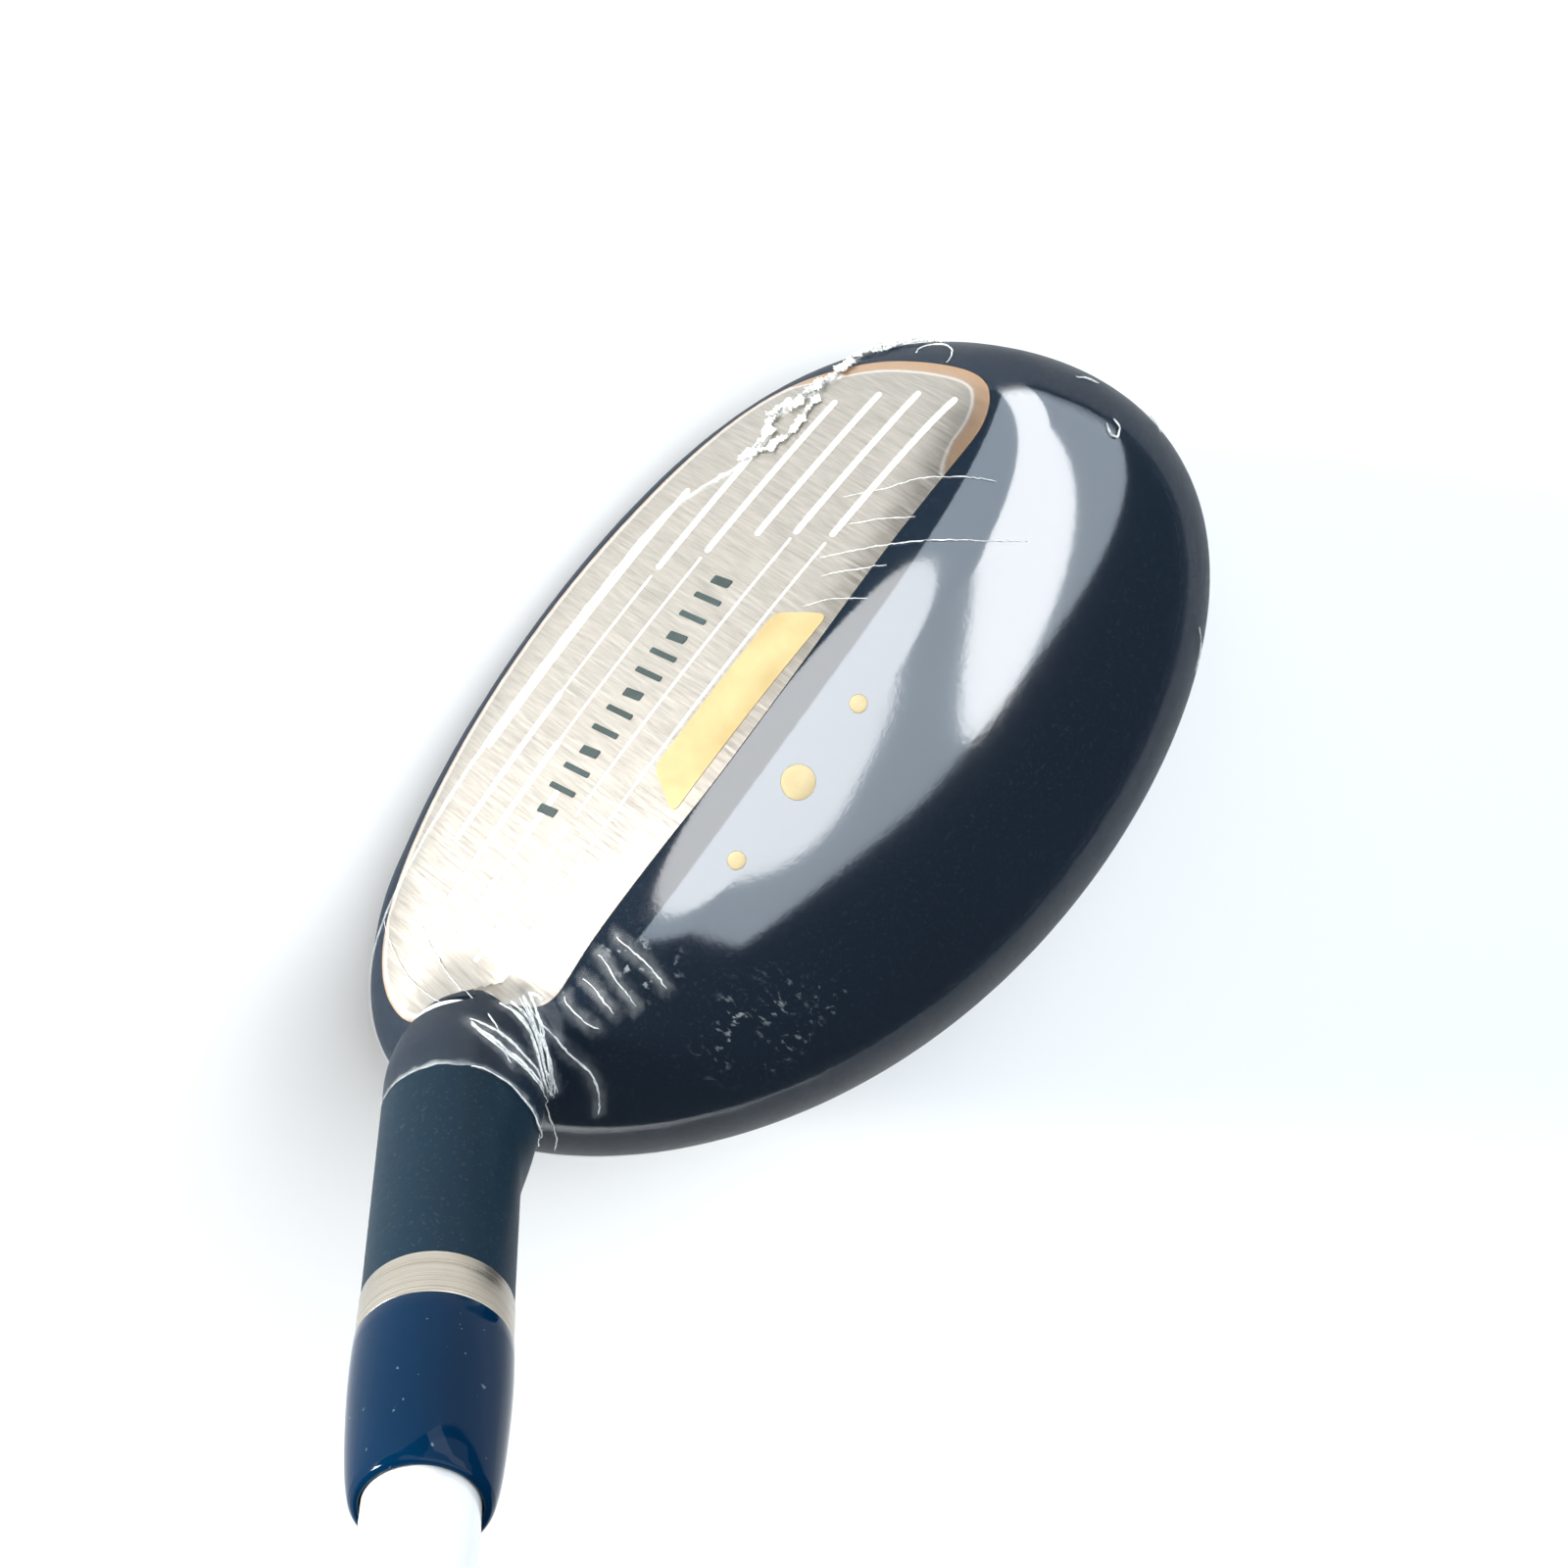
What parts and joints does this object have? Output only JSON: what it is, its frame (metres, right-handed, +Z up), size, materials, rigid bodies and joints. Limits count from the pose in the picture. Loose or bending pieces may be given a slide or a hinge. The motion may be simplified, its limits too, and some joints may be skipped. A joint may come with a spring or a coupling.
{
  "type": "hybrid golf club",
  "caption": "Right-handed hybrid golf club at address: glossy hollow head with brushed lofted face, ringed ferrule, white shaft and rubber grip.",
  "frame": {"origin": "point of the flat of the sole directly below the centre of the face, with the club standing at address", "axes": "+Z up, the face looks towards -Y, the heel and the shaft lie towards +X, the toe towards -X"},
  "size_m": [0.5659, 0.0624, 0.859],
  "materials": {
    "navy_paint": "deep navy lacquer, glossy on the head, satin on the hosel",
    "brushed_face": "satin brushed from heel to toe, warm tint at the bevel",
    "gold": "pale gold, satin",
    "sole_steel": "brushed",
    "bare_steel": "as machined",
    "screw_steel": "machined",
    "hot_melt": "amber, waxy",
    "gold_patch": "gold ink, satin",
    "mark_ink": "navy ink",
    "clear_film": "clear and glossy, wrinkled",
    "ring_steel": "champagne, brushed round",
    "ferrule_navy": "high gloss, with scuffs",
    "shaft_white": "white lacquer over graphite",
    "epoxy": "cured adhesive",
    "tip_brass": "turned",
    "tape": "paper tape",
    "grip_rubber": "matte navy, moulded pattern",
    "cap_rubber": "matte navy"
  },
  "bodies": {
    "root": {"head_shell": "navy_paint", "face_plate": "brushed_face", "crown_dot_toe": "gold", "crown_dot_centre": "gold", "crown_dot_heel": "gold", "sole_plate": "sole_steel", "weight_boss": "bare_steel", "weight_screw": "screw_steel", "damping_pad": "hot_melt", "face_patch": "gold_patch", "face_mark": "mark_ink", "protective_film": "clear_film", "trim_ring": "ring_steel", "ferrule": "ferrule_navy", "shaft": "shaft_white", "epoxy_sleeve": "epoxy", "tip_weight": "tip_brass", "grip_tape": "tape", "grip": "grip_rubber", "grip_cap": "cap_rubber"}
  },
  "joints": []
}
